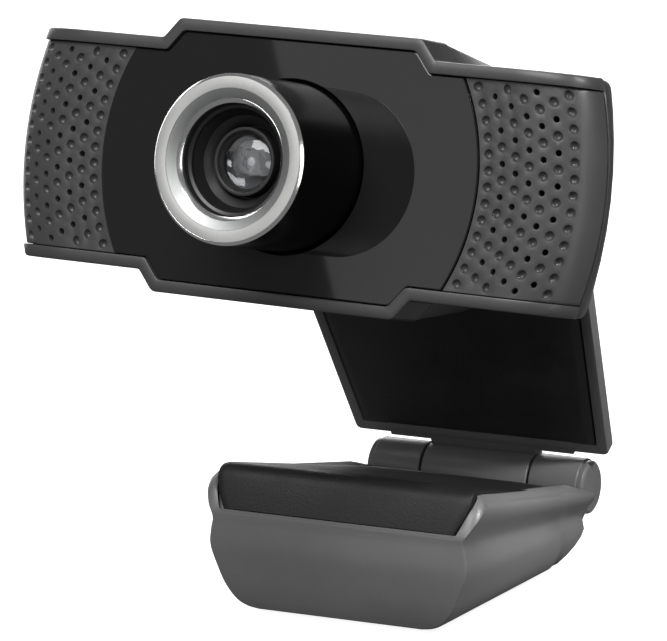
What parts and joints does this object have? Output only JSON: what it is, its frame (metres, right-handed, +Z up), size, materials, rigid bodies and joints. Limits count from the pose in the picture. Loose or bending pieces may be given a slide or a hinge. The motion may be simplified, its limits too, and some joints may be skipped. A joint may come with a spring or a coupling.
{
  "type": "webcam on folding clip foot",
  "caption": "Wide webcam with perforated wings and a ring-focused lens, on a swivel neck, a rubber-faced plate and a hinged wedge foot.",
  "frame": {"origin": "centre of the foot's rest face on the desk", "axes": "+X along the head and the clip hinge, -Y the way the lens faces, +Z up"},
  "size_m": [0.0859, 0.0785, 0.0804],
  "materials": {
    "grey_shell": "fine satin",
    "hinge_grey": "satin",
    "shell_black": "fine grained matte",
    "black_plastic": "matte",
    "soft_rubber": "fine grained",
    "plated_steel": "zinc plated",
    "insert_brass": "turned and knurled",
    "natural_acetal": "satin",
    "gloss_black": "high gloss",
    "adhesive_tape": "matte",
    "speaker_cloth": "woven",
    "board_green": "solder mask",
    "sensor_glass": "polished",
    "chip_black": "matte",
    "ceramic_tan": "matte",
    "filter_glass": "polished",
    "microphone_can": "satin",
    "tube_black": "semi gloss",
    "ring_silver": "satin with bright cut bevels",
    "hood_black": "matte",
    "lens_glass": "coated"
  },
  "bodies": {
    "foot": {"foot_shell": "grey_shell", "foot_base_cover": "black_plastic", "foot_pad": "soft_rubber", "foot_sole": "soft_rubber", "foot_screws": "plated_steel", "tripod_insert": "insert_brass", "hinge_pin": "plated_steel", "hinge_cap_left": "hinge_grey", "hinge_cap_right": "hinge_grey"},
    "plate": {"plate_frame": "hinge_grey", "plate_liner": "soft_rubber", "hinge_bush": "natural_acetal", "swivel_pin": "plated_steel", "swivel_washer": "plated_steel", "swivel_nut": "plated_steel"},
    "neck": {"neck_block": "hinge_grey"},
    "head": {"tilt_screw": "plated_steel", "tilt_nut": "plated_steel", "tilt_washers": "plated_steel", "rear_shell": "shell_black", "front_panel": "grey_shell", "faceplate": "gloss_black", "faceplate_tape": "adhesive_tape", "acoustic_cloth": "speaker_cloth", "main_board": "board_green", "image_sensor": "sensor_glass", "video_chip": "chip_black", "board_components": "ceramic_tan", "cable_socket": "natural_acetal", "lens_holder": "black_plastic", "holder_screws": "plated_steel", "infrared_filter": "filter_glass", "microphones": "microphone_can", "microphone_boots": "soft_rubber", "board_screws": "plated_steel", "shell_screws": "plated_steel", "cable_gland": "soft_rubber", "focus_retainer": "black_plastic", "retainer_screws": "plated_steel"},
    "focus_ring": {"focus_tube": "tube_black", "trim_ring": "ring_silver", "lens_hood": "hood_black"},
    "lens": {"lens_barrel": "tube_black", "front_element": "lens_glass", "inner_elements": "lens_glass", "rear_element": "lens_glass", "aperture_stop": "hood_black", "lens_retainer": "hood_black"}
  },
  "joints": [
    {"name": "clip_fold", "type": "hinge", "parent": "foot", "child": "plate", "pos_m": [0, 0.024, 0.0095], "axis": [1, 0, 0], "range_deg": [-75, 15]},
    {"name": "head_swivel", "type": "hinge", "parent": "plate", "child": "neck", "pos_m": [0, 0.00272, 0.05219], "axis": [0, 0, 1], "range_deg": [-26, 34]},
    {"name": "head_tilt", "type": "hinge", "parent": "neck", "child": "head", "pos_m": [-0.00091, -0.00915, 0.05729], "axis": [0.9971, -0.0767, 0], "range_deg": [-20, 30]},
    {"name": "focus_turn", "type": "hinge", "parent": "head", "child": "focus_ring", "pos_m": [-0.00278, -0.03346, 0.06279], "axis": [-0.0748, -0.9727, 0.2198], "range_deg": [-135, 135]},
    {"name": "lens_travel", "type": "slide", "parent": "focus_ring", "child": "lens", "axis": [-0.0748, -0.9727, 0.2198], "range_m": [-0.0002, 0.0002]}
  ],
  "couplings": [
    {"joint": "lens_travel", "follows": "focus_turn", "m_per_rad": 0.000079577}
  ]
}
